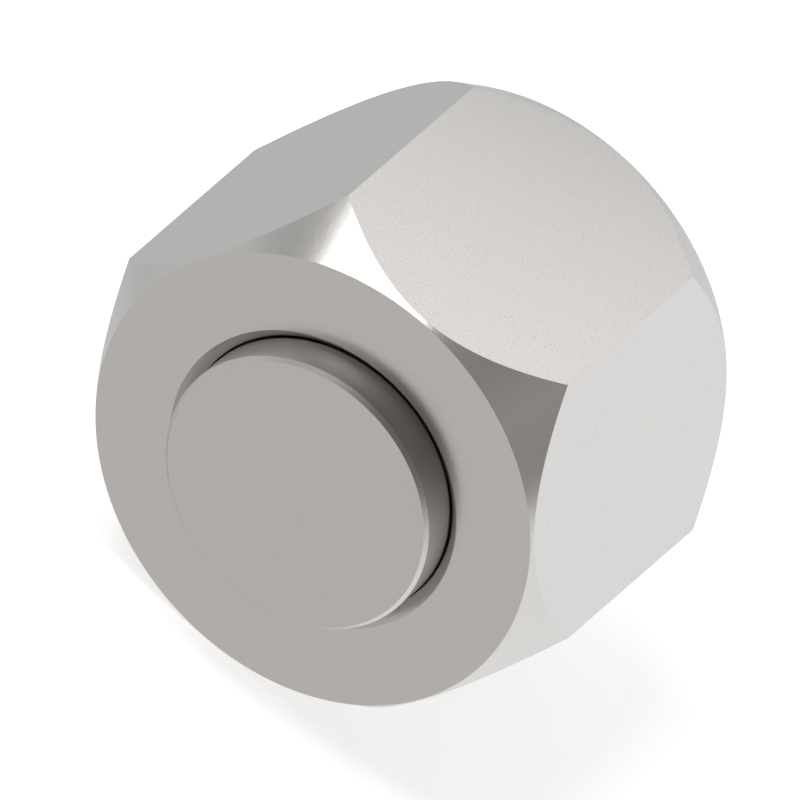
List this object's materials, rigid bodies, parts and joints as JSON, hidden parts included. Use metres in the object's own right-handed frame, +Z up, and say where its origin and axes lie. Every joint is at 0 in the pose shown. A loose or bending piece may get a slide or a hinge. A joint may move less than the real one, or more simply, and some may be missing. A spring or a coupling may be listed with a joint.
{
  "type": "flareless tube cap",
  "caption": "Hexagonal tube nut with a solid plug in its bore, which closes one end of a flareless tube fitting.",
  "frame": {"origin": "centre of the bounding box at its base, on the surface that the lowest flat of the hexagon rests on", "axes": "+Z up, square to the flat that the cap lies on; +Y along the common axis, from the end where the plug stands out towards the threaded mouth; +X across two corners of the hexagon"},
  "size_m": [0.0366, 0.0268, 0.0318],
  "materials": {
    "nut_steel": "satin machined steel",
    "plug_steel": "satin turned steel"
  },
  "bodies": {
    "nut": {"tube_nut": "nut_steel"},
    "plug": {"plug": "plug_steel"}
  },
  "joints": [
    {"name": "swivel", "type": "hinge", "parent": "nut", "child": "plug", "pos_m": [0, 0, 0.01588], "axis": [0, 1, 0], "continuous": true}
  ]
}
